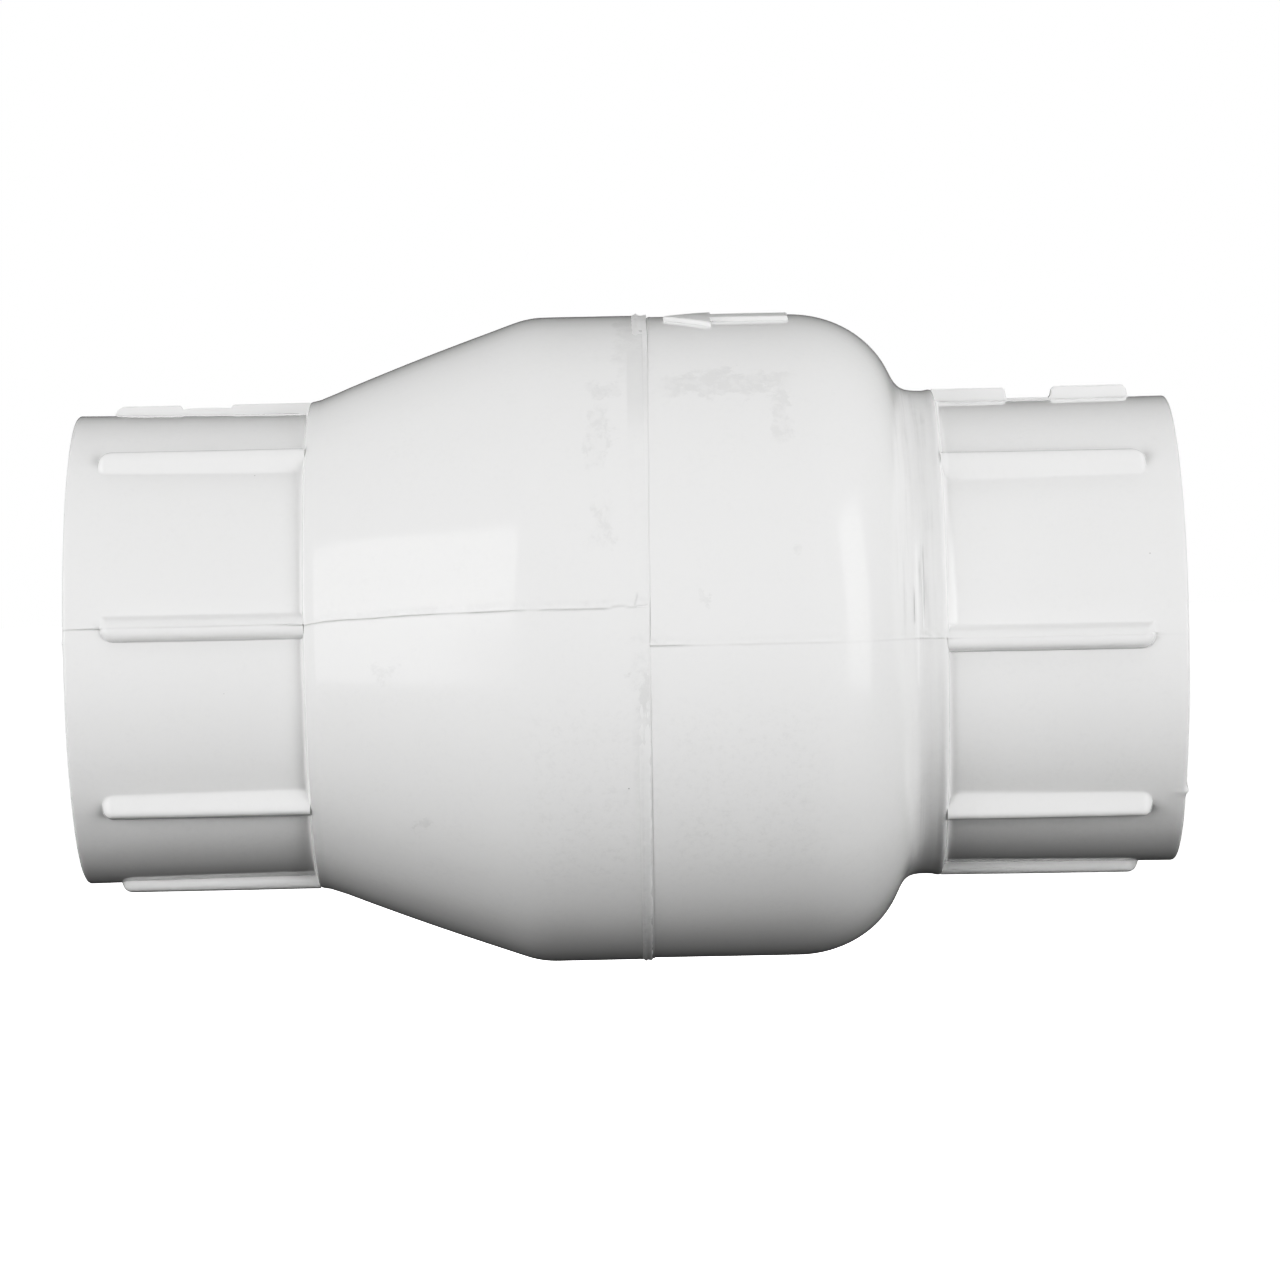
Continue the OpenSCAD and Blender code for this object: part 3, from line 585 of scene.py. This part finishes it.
# ---------------------------------------------------------------- materials
class Graph:
    """Short names for building a node material."""

    def __init__(self, name):
        self.mat = bpy.data.materials.new(name)
        self.mat.use_nodes = True
        self.tree = self.mat.node_tree
        self.tree.nodes.clear()
        self.out = self.add("ShaderNodeOutputMaterial")
        self.bsdf = self.add("ShaderNodeBsdfPrincipled")
        self.link(self.bsdf.outputs[0], self.out.inputs["Surface"])
        self.coord = self.add("ShaderNodeTexCoord").outputs["Object"]

    def add(self, kind, **settings):
        node = self.tree.nodes.new(kind)
        for k, v in settings.items():
            setattr(node, k, v)
        return node

    def link(self, a, b):
        self.tree.links.new(a, b)

    def put(self, socket, value):
        if isinstance(value, bpy.types.NodeSocket):
            self.link(value, socket)
        else:
            socket.default_value = value

    def math(self, op, a, b=None, c=None, clamp=False):
        node = self.add("ShaderNodeMath", operation=op, use_clamp=clamp)
        for i, v in enumerate((a, b, c)):
            if v is not None:
                self.put(node.inputs[i], v)
        return node.outputs[0]

    def mapping(self, vector, location=(0, 0, 0), rotation=(0, 0, 0), scale=(1, 1, 1)):
        node = self.add("ShaderNodeMapping")
        self.link(vector, node.inputs["Vector"])
        node.inputs["Location"].default_value = location
        node.inputs["Rotation"].default_value = rotation
        node.inputs["Scale"].default_value = scale
        return node.outputs[0]

    def noise(self, scale, detail=3.0, rough=0.5, vector=None, distort=0.0):
        node = self.add("ShaderNodeTexNoise")
        self.link(vector or self.coord, node.inputs["Vector"])
        node.inputs["Scale"].default_value = scale
        node.inputs["Detail"].default_value = detail
        node.inputs["Roughness"].default_value = rough
        node.inputs["Distortion"].default_value = distort
        return node.outputs["Fac"]

    def ramp(self, value, lo, hi, out_lo=0.0, out_hi=1.0):
        node = self.add("ShaderNodeMapRange", interpolation_type="SMOOTHSTEP")
        self.put(node.inputs["Value"], value)
        node.inputs["From Min"].default_value = lo
        node.inputs["From Max"].default_value = hi
        node.inputs["To Min"].default_value = out_lo
        node.inputs["To Max"].default_value = out_hi
        return node.outputs["Result"]

    def mix(self, fac, a, b):
        node = self.add("ShaderNodeMix", data_type="RGBA")
        self.put(node.inputs["Factor"], fac)
        for key, v in (("A", a), ("B", b)):
            socket = [s for s in node.inputs if s.name == key and s.type == "RGBA"][0]
            if isinstance(v, bpy.types.NodeSocket):
                self.link(v, socket)
            else:
                socket.default_value = (*v, 1)
        return [s for s in node.outputs if s.type == "RGBA"][0]

    def attribute(self, name):
        return self.add("ShaderNodeAttribute", attribute_name=name).outputs["Fac"]

    def bump(self, height, distance, strength=1.0, normal=None):
        node = self.add("ShaderNodeBump")
        node.inputs["Strength"].default_value = strength
        node.inputs["Distance"].default_value = distance
        self.link(height, node.inputs["Height"])
        if normal is not None:
            self.link(normal, node.inputs["Normal"])
        return node.outputs[0]

    def shell(self, **values):
        for key, v in values.items():
            self.put(self.bsdf.inputs[key.replace("_", " ")], v)


def specks(g, scale, share, size, seed):
    """Sparse small dots: 1 on a dot, 0 elsewhere."""
    node = g.add("ShaderNodeTexVoronoi")
    g.link(g.mapping(g.coord, location=(seed, seed * 0.7, seed * 1.3)), node.inputs["Vector"])
    node.inputs["Scale"].default_value = scale
    split = g.add("ShaderNodeSeparateColor")
    g.link(node.outputs["Color"], split.inputs[0])
    chosen = g.math("GREATER_THAN", split.outputs[0], 1 - share)
    big = g.math("MULTIPLY_ADD", split.outputs[1], size * 0.7, size * 0.4)
    dot = g.math("LESS_THAN", node.outputs["Distance"], big)
    return g.math("MULTIPLY", chosen, dot)


def patch_mask(g, place, centre, size):
    """1 inside a squarish region, 0 outside, in metres. The place is already warped, so its edge is ragged."""
    split = g.add("ShaderNodeSeparateXYZ")
    g.link(g.mapping(place, location=tuple(-c / s for c, s in zip(centre, size)), scale=tuple(1 / s for s in size)), split.inputs[0])
    out = None
    for socket in split.outputs:
        part = g.ramp(g.math("ABSOLUTE", socket), 1.25, 0.7)
        out = part if out is None else g.math("MULTIPLY", out, part)
    return out


def pvc(name, tone, rough, seed, marks=(), seam=False, grain=1.0, streaks=None):
    g = Graph(name)
    moved = g.mapping(g.coord, location=(seed, seed * 1.7, -seed))
    cloud = g.noise(28, 2.0, 0.5, moved)
    mottle = g.noise(260, 3.0, 0.6, moved)
    smear = g.noise(1150, 4.0, 0.65, moved, 0.6)
    colour = g.mix(g.ramp(cloud, 0.2, 0.8), tuple(c * 0.99 for c in tone), tone)
    fine = g.noise(1500, 3.0, 0.6, moved)
    colour = g.mix(g.math("MULTIPLY", g.ramp(fine, 0.4, 0.8), g.ramp(mottle, 0.35, 0.7, 0.1, 0.6)), colour, tuple(c * 0.955 for c in tone))
    if seam:
        # painted highlight: places marked in the mesh are painted paler
        colour = g.mix(g.attribute("painted_highlight"), colour, tuple(c * 1.12 for c in tone))
    grey = None
    if marks:
        wide = g.add("ShaderNodeTexNoise")
        g.link(moved, wide.inputs["Vector"])
        wide.inputs["Scale"].default_value = 330
        wide.inputs["Detail"].default_value = 4.0
        wide.inputs["Roughness"].default_value = 0.7
        shift = g.add("ShaderNodeVectorMath", operation="MULTIPLY_ADD")
        g.link(wide.outputs["Color"], shift.inputs[0])
        shift.inputs[1].default_value = (0.0062, 0.0062, 0.0062)
        shift.inputs[2].default_value = (-0.0031, -0.0031, -0.0031)
        place = g.add("ShaderNodeVectorMath", operation="ADD")
        g.link(g.coord, place.inputs[0])
        g.link(shift.outputs[0], place.inputs[1])
        runs = g.noise(700, 5.0, 0.7, g.mapping(moved, scale=(1.0, 1.0, 0.6)), 0.3)
        dots = g.noise(1000, 5.0, 0.75, moved)
    for centre, size, lo, hi, floor_, depth in marks:
        patch = g.math("MULTIPLY", patch_mask(g, place.outputs[0], centre, size), g.ramp(runs if floor_ > 0 else dots, lo, hi, floor_, depth))
        grey = patch if grey is None else g.math("MAXIMUM", grey, patch)
    if streaks:
        split = g.add("ShaderNodeSeparateXYZ")
        g.link(g.coord, split.inputs[0])
        lo, hi = streaks
        where = g.math("MULTIPLY", g.ramp(split.outputs[0], lo - 0.0006, lo + 0.0006), g.ramp(split.outputs[0], hi + 0.0006, hi - 0.0006))
        where = g.math("MULTIPLY", where, g.ramp(split.outputs[2], -0.004, 0.001, 0.2, 1.0))
        turning = g.noise(1500, 3.0, 0.6, g.mapping(moved, scale=(1.0, 0.035, 0.035)))
        patches = g.noise(170, 3.0, 0.6, moved)
        patch = g.math("MULTIPLY", where, g.math("MULTIPLY", g.ramp(turning, 0.46, 0.72, 0.0, 0.62), g.ramp(patches, 0.35, 0.65, 0.25, 1.0)))
        grey = patch if grey is None else g.math("MAXIMUM", grey, patch)
    if seam:
        scuff = g.attribute("scuff")
        patch = g.math("MULTIPLY", scuff, g.ramp(g.noise(560, 5.0, 0.7, moved, 0.3), 0.42, 0.66, 0.08, 0.45))
        grey = patch if grey is None else g.math("MAXIMUM", grey, patch)
        # dirt and painted shade marked in the mesh darken the colour
        line = g.attribute("dirt_and_shade")
        grey = g.math("MAXIMUM", grey, g.math("MULTIPLY", line, 1.1, clamp=True))
    if grey is not None:
        colour = g.mix(grey, colour, tuple(c * 0.80 for c in tone))
    dots = g.math("MAXIMUM", specks(g, 90, 0.20, 0.011, seed + 2), specks(g, 260, 0.05, 0.026, seed + 5))
    colour = g.mix(g.math("MULTIPLY", dots, 0.55), colour, tuple(c * 0.35 for c in tone))
    r = g.math("MULTIPLY_ADD", g.ramp(mottle, 0.3, 0.75), 0.03, rough)
    if grey is not None:
        r = g.math("MULTIPLY_ADD", grey, 0.14, r)
    # fine unevenness of the moulded skin
    skin = g.bump(g.noise(120, 2.0, 0.5, moved), 0.00002 * grain, 0.5)
    skin = g.bump(smear, 0.000004 * grain, 0.5, skin)
    if grey is not None:
        skin = g.bump(g.math("MULTIPLY", grey, g.noise(2600, 3.0, 0.6, moved)), 0.00003, 0.7, skin)
    g.shell(Base_Color=colour, Roughness=r, IOR=1.53, Normal=skin)
    return g.mat


WHITE = (0.845, 0.845, 0.842)
# (centre, half size, noise from, noise to, least, most)
outlet_marks = (
    ((-0.0022, -0.0265, 0.0316), (0.0018, 0.010, 0.0012), 0.40, 0.60, 0.16, 0.44),
    ((-0.0029, -0.0325, 0.0255), (0.0013, 0.010, 0.0036), 0.45, 0.60, 0.08, 0.42),
    ((-0.0024, -0.0385, 0.0148), (0.0016, 0.010, 0.0027), 0.44, 0.60, 0.08, 0.46),
    ((0.0010, -0.0150, 0.0380), (0.0016, 0.012, 0.0040), 0.35, 0.60, 0.10, 0.30),
    ((0.0019, -0.0410, -0.0055), (0.0010, 0.012, 0.0030), 0.42, 0.58, 0.05, 0.60),
    ((-0.0040, -0.0370, -0.0185), (0.0090, 0.014, 0.0120), 0.47, 0.72, 0.0, 0.24),
    ((-0.0300, -0.0330, -0.0030), (0.0012, 0.012, 0.0012), 0.42, 0.60, 0.0, 0.40),
    ((-0.0258, -0.0270, -0.0218), (0.0011, 0.012, 0.0007), 0.35, 0.60, 0.12, 0.30),
    ((-0.0060, 0.0370, 0.0100), (0.0110, 0.014, 0.0160), 0.47, 0.72, 0.0, 0.20),
)
inlet_marks = (
    ((0.0130, -0.0270, 0.0322), (0.0078, 0.010, 0.0014), 0.38, 0.58, 0.22, 0.48),
    ((0.0197, -0.0310, 0.0283), (0.0012, 0.010, 0.0034), 0.42, 0.60, 0.10, 0.40),
    ((0.0145, -0.0370, -0.0175), (0.0100, 0.014, 0.0110), 0.47, 0.72, 0.0, 0.24),
    ((0.0096, -0.0410, 0.0057), (0.0006, 0.012, 0.0007), 0.35, 0.60, 0.15, 0.40),
    ((0.0212, -0.0395, 0.0110), (0.0006, 0.012, 0.0007), 0.35, 0.60, 0.10, 0.36),
    ((0.0150, 0.0370, -0.0120), (0.0110, 0.014, 0.0140), 0.47, 0.72, 0.0, 0.20),
)
m_outlet = pvc("pvc_outlet", WHITE, 0.085, 0.0, outlet_marks, seam=True)
m_inlet = pvc("pvc_inlet", WHITE, 0.10, 3.1, inlet_marks, seam=True, streaks=(0.0338, 0.0398))
m_arrow = pvc("pvc_arrow", WHITE, 0.2, 5.7)
m_weld = pvc("pvc_weld", (0.835, 0.835, 0.832), 0.30, 7.9, seam=True, grain=2.0)
m_inner = pvc("pvc_inner", (0.80, 0.80, 0.79), 0.36, 9.3)
m_arm = pvc("pvc_arm", (0.60, 0.61, 0.62), 0.38, 12.3)


def rubber(name, seed):
    g = Graph(name)
    moved = g.mapping(g.coord, location=(seed, seed, seed))
    dust = g.ramp(g.noise(190, 4.0, 0.6, moved), 0.5, 0.8, 0.0, 0.35)
    colour = g.mix(dust, (0.018, 0.018, 0.019), (0.06, 0.06, 0.06))
    r = g.math("MULTIPLY_ADD", g.noise(700, 2.0, 0.5, moved), 0.2, 0.42)
    skin = g.bump(g.noise(3200, 2.0, 0.5, moved), 0.00002, 0.5)
    g.shell(Base_Color=colour, Roughness=r, Normal=skin)
    return g.mat


SEAT = dict(location=(0.0, 0.0, 0.0), rotation=(0.0, math.radians(-8), 0.0))


def steel(name, kind, seed, centre=(0.020, 0, 0)):
    """Stainless steel. kind is turned (rings round the flapper axis), ground (rings round the hinge pin) or rolled."""
    g = Graph(name)
    local = g.mapping(g.coord, location=tuple(-c for c in centre))
    if kind == "turned":
        local = g.mapping(local, **SEAT)
    split = g.add("ShaderNodeSeparateXYZ")
    g.link(local, split.inputs[0])
    x, y, z = split.outputs
    if kind == "turned":
        rad = g.math("SQRT", g.math("ADD", g.math("MULTIPLY", y, y), g.math("MULTIPLY", z, z)))
        join = g.add("ShaderNodeCombineXYZ")
        g.link(rad, join.inputs[0])
        g.link(g.math("MULTIPLY", x, 1.0), join.inputs[1])
        lines = g.noise(5200, 2.0, 0.6, join.outputs[0])
    elif kind == "ground":
        lines = g.noise(2600, 3.0, 0.6, g.mapping(local, scale=(0.05, 1.6, 0.05)))
    else:
        lines = g.noise(2400, 3.0, 0.6, g.mapping(local, scale=(1.0, 0.06, 1.0)))
    cloud = g.noise(240, 3.0, 0.6, g.mapping(g.coord, location=(seed, 0, seed)))
    colour = g.mix(g.ramp(cloud, 0.35, 0.7), (0.56, 0.56, 0.55), (0.66, 0.655, 0.64))
    r = g.math("ADD", g.math("MULTIPLY_ADD", lines, 0.16, 0.16), g.ramp(cloud, 0.4, 0.75, 0.0, 0.08))
    g.shell(Base_Color=colour, Metallic=1.0, Roughness=r, Normal=g.bump(lines, 0.000012, 0.5))
    return g.mat


def acetal(name):
    g = Graph(name)
    cloud = g.noise(420, 3.0, 0.5)
    colour = g.mix(g.ramp(cloud, 0.35, 0.7), (0.70, 0.66, 0.53), (0.77, 0.73, 0.61))
    r = g.math("MULTIPLY_ADD", cloud, 0.15, 0.30)
    lines = g.noise(3000, 2.0, 0.5, g.mapping(g.coord, scale=(0.08, 1.5, 0.08)))
    g.shell(Base_Color=colour, Roughness=r, Normal=g.bump(lines, 0.00001, 0.4))
    return g.mat


m_rubber = rubber("epdm", 2.0)
m_turned = steel("stainless_turned", "turned", 1.0)
m_ground = steel("stainless_ground", "ground", 4.0, (0.0179381, 0, 0.0298777))
m_rolled = steel("stainless_rolled", "rolled", 6.0)
m_acetal = acetal("acetal")

FINISH = {
    "outlet_shell": m_outlet, "inlet_shell": m_inlet, "weld_flash": m_weld, "seat_ring": m_inner, "seat_o_ring": m_rubber,
    "retaining_ring": m_rolled, "hinge_pin": m_ground, "pin_clip_front": m_rolled, "pin_clip_back": m_rolled,
    "thrust_washer_front": m_acetal, "thrust_washer_back": m_acetal, "flapper_arm": m_arm, "arm_bush_front": m_acetal,
    "arm_bush_back": m_acetal, "flapper_disc": m_inner, "flapper_seal": m_rubber, "seal_plate": m_turned,
    "flapper_bolt": m_turned, "bolt_seal": m_rubber, "flapper_washer": m_turned, "flapper_nut": m_turned,
}


def paint(obj, material):
    obj.data.materials.clear()
    obj.data.materials.append(material)


for node, material in FINISH.items():
    paint(NODES[node], material)
paint(outlet, m_outlet)
paint(inlet, m_inlet)
paint(arrow, m_arrow)
paint(flash, m_weld)

# ---------------------------------------------------------------- camera: level, slightly rolled, far away on a long lens
elev, roll = math.radians(1.5), math.radians(1.19)
up = Vector((0, math.sin(elev), math.cos(elev)))
back = Vector((0, -math.cos(elev), math.sin(elev)))
right_v = math.cos(roll) * Vector((1, 0, 0)) - math.sin(roll) * up
up_v = math.sin(roll) * Vector((1, 0, 0)) + math.cos(roll) * up
aim = 0.00174 * right_v - 0.00019 * up_v
cam_data = bpy.data.cameras.new("camera")
cam_data.lens = 171.2
cam_data.sensor_width = 36.0
cam_data.clip_start, cam_data.clip_end = 0.05, 50
cam = bpy.data.objects.new("camera", cam_data)
bpy.context.scene.collection.objects.link(cam)
turn = Matrix((right_v, up_v, back)).transposed().to_4x4()
cam.matrix_world = Matrix.Translation(aim + 0.786 * back) @ turn
bpy.context.scene.camera = cam

# ---------------------------------------------------------------- light
world = bpy.data.worlds.new("world")
bpy.context.scene.world = world
world.use_nodes = True
wt = world.node_tree
wt.nodes.clear()
w_out = wt.nodes.new("ShaderNodeOutputWorld")
w_mix = wt.nodes.new("ShaderNodeMixShader")
w_path = wt.nodes.new("ShaderNodeLightPath")
w_seen = wt.nodes.new("ShaderNodeBackground")
w_seen.inputs["Color"].default_value = (1, 1, 1, 1)
w_seen.inputs["Strength"].default_value = 1.0
w_lit = wt.nodes.new("ShaderNodeBackground")
w_coord = wt.nodes.new("ShaderNodeTexCoord")
w_split = wt.nodes.new("ShaderNodeSeparateXYZ")
wt.links.new(w_coord.outputs["Generated"], w_split.inputs[0])


def fade(socket, lo, hi, at_lo, at_hi):
    node = wt.nodes.new("ShaderNodeMapRange")
    node.interpolation_type = "SMOOTHSTEP"
    for key, value in (("From Min", lo), ("From Max", hi), ("To Min", at_lo), ("To Max", at_hi)):
        node.inputs[key].default_value = value
    wt.links.new(socket, node.inputs["Value"])
    return node.outputs["Result"]


w_mul = wt.nodes.new("ShaderNodeMath")
w_mul.operation = "MULTIPLY"
w_dim = wt.nodes.new("ShaderNodeMath")
w_dim.operation = "MULTIPLY"
wt.links.new(fade(w_split.outputs["Z"], -0.5, 0.4, 0.045, 0.27), w_mul.inputs[0])
wt.links.new(fade(w_split.outputs["Y"], 0.2, 0.75, 1.0, 0.10), w_mul.inputs[1])
wt.links.new(w_mul.outputs[0], w_dim.inputs[0])
wt.links.new(fade(w_path.outputs["Is Diffuse Ray"], 0.0, 1.0, 1.0, 0.12), w_dim.inputs[1])
wt.links.new(w_dim.outputs[0], w_lit.inputs["Strength"])
w_lit.inputs["Color"].default_value = (1, 1, 1, 1)
wt.links.new(w_path.outputs["Is Camera Ray"], w_mix.inputs[0])
wt.links.new(w_lit.outputs[0], w_mix.inputs[1])
wt.links.new(w_seen.outputs[0], w_mix.inputs[2])
wt.links.new(w_mix.outputs[0], w_out.inputs["Surface"])


def softbox(name, az, el, dist, width, height, radiance):
    """Rectangular soft light. az is measured from the front (-Y) towards +X, in degrees."""
    a, e = math.radians(az), math.radians(el)
    way = Vector((math.sin(a) * math.cos(e), -math.cos(a) * math.cos(e), math.sin(e)))
    data = bpy.data.lights.new(name, "AREA")
    data.shape = "RECTANGLE"
    data.size, data.size_y = width, height
    data.energy = radiance * math.pi * width * height
    obj = bpy.data.objects.new(name, data)
    bpy.context.scene.collection.objects.link(obj)
    obj.rotation_mode = "QUATERNION"
    obj.rotation_quaternion = way.to_track_quat("Z", "Y")
    obj.location = way * dist
    obj.visible_camera = False
    return obj


for sheen in (softbox("box_left", -64, 12, 1.3, 1.20, 1.27, 1.65), softbox("box_right", 59, 12, 1.3, 0.62, 1.27, 1.65)):
    sheen.visible_diffuse = False
for far in (softbox("front_left", -40, 0, 1.3, 0.9, 0.9, 4.1), softbox("front_right", 45, 0, 1.3, 0.9, 0.9, 4.1),
            softbox("side_left", -90, 0, 1.3, 0.9, 0.9, 2.5), softbox("side_right", 90, 0, 1.3, 0.9, 0.9, 2.2),
            softbox("top_front", 0, 60, 1.3, 1.6, 0.6, 1.45), softbox("top_back", 180, 60, 1.3, 1.8, 1.0, 1.9),
            softbox("rim", 180, 30, 1.3, 1.8, 0.8, 0.85),
            softbox("back_left", -140, 5, 1.6, 1.1, 1.2, 1.3), softbox("back_right", 140, 5, 1.6, 1.1, 1.2, 1.3)):
    far.visible_glossy = False

# ---------------------------------------------------------------- floor: plain and pale, well below the object
floor_mesh = bpy.data.meshes.new("floor")
bm = bmesh.new()
bmesh.ops.create_grid(bm, x_segments=8, y_segments=8, size=6.0)
bm.to_mesh(floor_mesh)
bm.free()
floor = bpy.data.objects.new("floor", floor_mesh)
bpy.context.scene.collection.objects.link(floor)
floor.location = (0, 0, -0.13)
fm = bpy.data.materials.new("floor")
fm.use_nodes = True
ft = fm.node_tree
ft.nodes.clear()
f_out = ft.nodes.new("ShaderNodeOutputMaterial")
f_add = ft.nodes.new("ShaderNodeAddShader")
f_glow = ft.nodes.new("ShaderNodeEmission")
f_diff = ft.nodes.new("ShaderNodeBsdfDiffuse")
f_clear = ft.nodes.new("ShaderNodeBsdfTransparent")
f_side = ft.nodes.new("ShaderNodeNewGeometry")
f_mix = ft.nodes.new("ShaderNodeMixShader")
f_pos = ft.nodes.new("ShaderNodeTexCoord")
f_len = ft.nodes.new("ShaderNodeVectorMath")
f_len.operation = "LENGTH"
f_far = ft.nodes.new("ShaderNodeMapRange")
f_far.interpolation_type = "SMOOTHSTEP"
f_far.inputs["From Min"].default_value = 0.25
f_far.inputs["From Max"].default_value = 1.0
f_far.inputs["To Min"].default_value = 0.78
f_far.inputs["To Max"].default_value = 1.0
f_glow.inputs["Color"].default_value = (1, 1, 1, 1)
f_diff.inputs["Color"].default_value = (0.9, 0.9, 0.9, 1)
ft.links.new(f_pos.outputs["Object"], f_len.inputs[0])
ft.links.new(f_len.outputs["Value"], f_far.inputs["Value"])
ft.links.new(f_far.outputs["Result"], f_glow.inputs["Strength"])
ft.links.new(f_glow.outputs[0], f_add.inputs[0])
ft.links.new(f_diff.outputs[0], f_add.inputs[1])
ft.links.new(f_side.outputs["Backfacing"], f_mix.inputs[0])
ft.links.new(f_add.outputs[0], f_mix.inputs[1])
ft.links.new(f_clear.outputs[0], f_mix.inputs[2])
ft.links.new(f_mix.outputs[0], f_out.inputs["Surface"])
floor_mesh.materials.append(fm)
floor.visible_diffuse = False
floor.visible_glossy = False
floor.visible_shadow = False

view = bpy.context.scene.view_settings
view.view_transform = "Standard"
view.look = "None"
view.exposure = 0.0
view.gamma = 1.0
# a slightly harder tone curve, like that of a catalogue photograph
view.use_curve_mapping = True
curve = view.curve_mapping.curves[3]
for at, to in ((0.15, 0.080), (0.28, 0.190), (0.41, 0.358), (0.50, 0.472), (0.60, 0.612), (0.70, 0.722), (0.80, 0.812), (0.88, 0.868)):
    curve.points.new(at, to)
view.curve_mapping.update()
